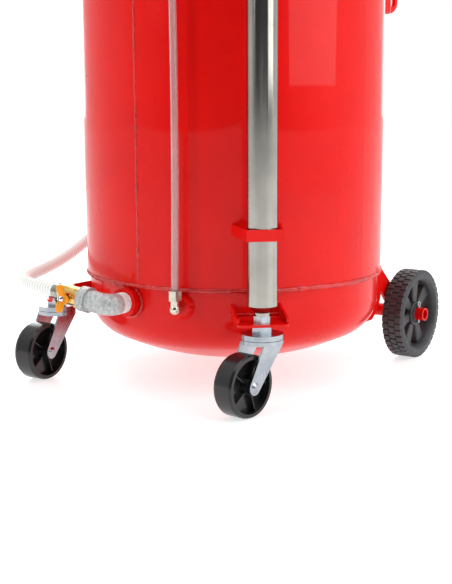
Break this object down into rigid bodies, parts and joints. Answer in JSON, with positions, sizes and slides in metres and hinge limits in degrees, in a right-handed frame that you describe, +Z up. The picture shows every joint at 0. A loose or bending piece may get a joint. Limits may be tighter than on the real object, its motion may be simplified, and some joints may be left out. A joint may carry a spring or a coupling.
{
  "type": "wheeled oil drainer tank",
  "caption": "Upright pressure tank on rear wheels and front casters, with drain valve, hose, sight tube, spout holder and height-adjustable funnel bowl.",
  "frame": {"origin": "on the floor, under the centre of the object without its hose", "axes": "+Z up, -Y to the front with the drain valve, +X to the right with the storage tube"},
  "size_m": [0.5168, 0.528, 1.029],
  "materials": {
    "red_paint": "gloss powder coat with small weld spatter",
    "stainless": "fine brushed stainless",
    "zinc_plate": "bright zinc plate with a blue tint",
    "black_plastic": "moulded, slightly worn",
    "brass": "machined brass",
    "nickel_brass": "nickel plated brass",
    "galvanised_iron": "mottled hot dip zinc over malleable iron",
    "chrome": "bright",
    "yellow_paint": "gloss dip coat",
    "seal_rubber": "matt",
    "seat_plastic": "white, waxy",
    "clear_plastic": "clear soft plastic",
    "red_enamel": "gloss powder coat",
    "needle_black": "satin"
  },
  "bodies": {
    "tank": {"air_manifold": "brass", "air_plug": "zinc_plate", "air_valve_body": "brass", "axle_gussets": "red_paint", "bottom_head": "red_paint", "caster_balls": "zinc_plate", "caster_brackets": "red_paint", "caster_nuts": "zinc_plate", "caster_studs": "zinc_plate", "column_socket": "red_paint", "discharge_hose": "clear_plastic", "drain_boss": "red_paint", "drain_elbow": "galvanised_iron", "drain_valve_body": "brass", "drain_valve_seats": "seat_plastic", "gauge_case": "black_plastic", "gauge_lens": "clear_plastic", "gland_seal": "seal_rubber", "handle_grip": "seal_rubber", "handle_tabs": "red_paint", "holster_straps": "red_paint", "hose_barb": "brass", "hose_clamps": "stainless", "hose_hooks": "red_paint", "hose_spout": "chrome", "pickup_pipe": "stainless", "push_handle": "red_paint", "rear_axles": "red_paint", "safety_valve_body": "brass", "sight_bosses": "red_paint", "sight_elbows": "nickel_brass", "sight_nuts": "nickel_brass", "sight_tube": "clear_plastic", "split_pins": "zinc_plate", "spout_holster": "stainless", "tank_shell": "red_paint", "top_head": "red_paint"},
    "caster_left": {"caster_left_fork": "zinc_plate", "caster_left_axle": "zinc_plate"},
    "caster_left_roll": {"caster_left_wheel": "black_plastic"},
    "caster_right": {"caster_right_fork": "zinc_plate", "caster_right_axle": "zinc_plate"},
    "caster_right_roll": {"caster_right_wheel": "black_plastic"},
    "rear_left_roll": {"rear_left_wheel": "black_plastic"},
    "rear_right_roll": {"rear_right_wheel": "black_plastic"},
    "drain_tap": {"drain_valve_handle": "yellow_paint", "drain_valve_ball": "stainless", "drain_valve_stem": "stainless", "drain_valve_screw": "chrome"},
    "gland": {"gland_nut": "black_plastic"},
    "column": {"drop_pipe": "stainless"},
    "bowl_head": {"bowl_valve_body": "brass", "bowl": "red_enamel"},
    "bowl_tap": {"bowl_valve_ball": "stainless", "bowl_valve_lever": "zinc_plate"},
    "screen": {"bowl_screen": "stainless"},
    "air_tap": {"air_valve_ball": "stainless", "air_valve_lever": "yellow_paint"},
    "needle": {"gauge_needle": "needle_black"},
    "relief": {"safety_pull_ring": "stainless"}
  },
  "joints": [
    {"name": "caster_left_swivel", "type": "hinge", "parent": "tank", "child": "caster_left", "pos_m": [-0.16573, -0.17772, 0.0824], "axis": [0, 0, 1], "continuous": true},
    {"name": "caster_left_spin", "type": "hinge", "parent": "caster_left", "child": "caster_left_roll", "pos_m": [-0.16395, -0.21167, 0.0375], "axis": [0.9986, 0.0523, 0], "continuous": true},
    {"name": "caster_right_swivel", "type": "hinge", "parent": "tank", "child": "caster_right", "pos_m": [0.16573, -0.17772, 0.0824], "axis": [0, 0, 1], "continuous": true},
    {"name": "caster_right_spin", "type": "hinge", "parent": "caster_right", "child": "caster_right_roll", "pos_m": [0.16188, -0.2115, 0.0375], "axis": [0.9936, -0.1132, 0], "continuous": true},
    {"name": "rear_left_spin", "type": "hinge", "parent": "tank", "child": "rear_left_roll", "pos_m": [-0.18, 0.183, 0.0625], "axis": [1, 0, 0], "continuous": true},
    {"name": "rear_right_spin", "type": "hinge", "parent": "tank", "child": "rear_right_roll", "pos_m": [0.18, 0.183, 0.0625], "axis": [1, 0, 0], "continuous": true},
    {"name": "drain_handle_turn", "type": "hinge", "parent": "tank", "child": "drain_tap", "pos_m": [-0.07863, -0.236, 0.12257], "axis": [0, 1, 0], "range_deg": [0, 90]},
    {"name": "gland_nut_turn", "type": "hinge", "parent": "tank", "child": "gland", "pos_m": [0, 0, 0.78022], "axis": [0, 0, 1], "range_deg": [0, 180]},
    {"name": "column_lift", "type": "slide", "parent": "tank", "child": "column", "axis": [0, 0, 1], "range_m": [0, 0.45]},
    {"name": "bowl_swivel", "type": "hinge", "parent": "column", "child": "bowl_head", "pos_m": [0, 0, 0.89], "axis": [0, 0, 1], "continuous": true},
    {"name": "bowl_lever_turn", "type": "hinge", "parent": "bowl_head", "child": "bowl_tap", "pos_m": [0, 0, 0.89], "axis": [0, 1, 0], "range_deg": [0, 90]},
    {"name": "bowl_screen_lift", "type": "slide", "parent": "bowl_head", "child": "screen", "axis": [0, 0, 1], "range_m": [0, 0.12]},
    {"name": "air_lever_turn", "type": "hinge", "parent": "tank", "child": "air_tap", "pos_m": [-0.122, -0.06, 0.75904], "axis": [0, 0, 1], "range_deg": [-90, 0]},
    {"name": "gauge_needle_turn", "type": "hinge", "parent": "tank", "child": "needle", "pos_m": [-0.09, -0.107, 0.75904], "axis": [0, 1, 0], "range_deg": [0, 270], "stiffness_Nm_per_rad": 0.0005},
    {"name": "relief_ring_lift", "type": "slide", "parent": "tank", "child": "relief", "axis": [0, 0, 1], "range_m": [0, 0.003], "stiffness_N_per_m": 2000, "springref_m": -0.001}
  ]
}
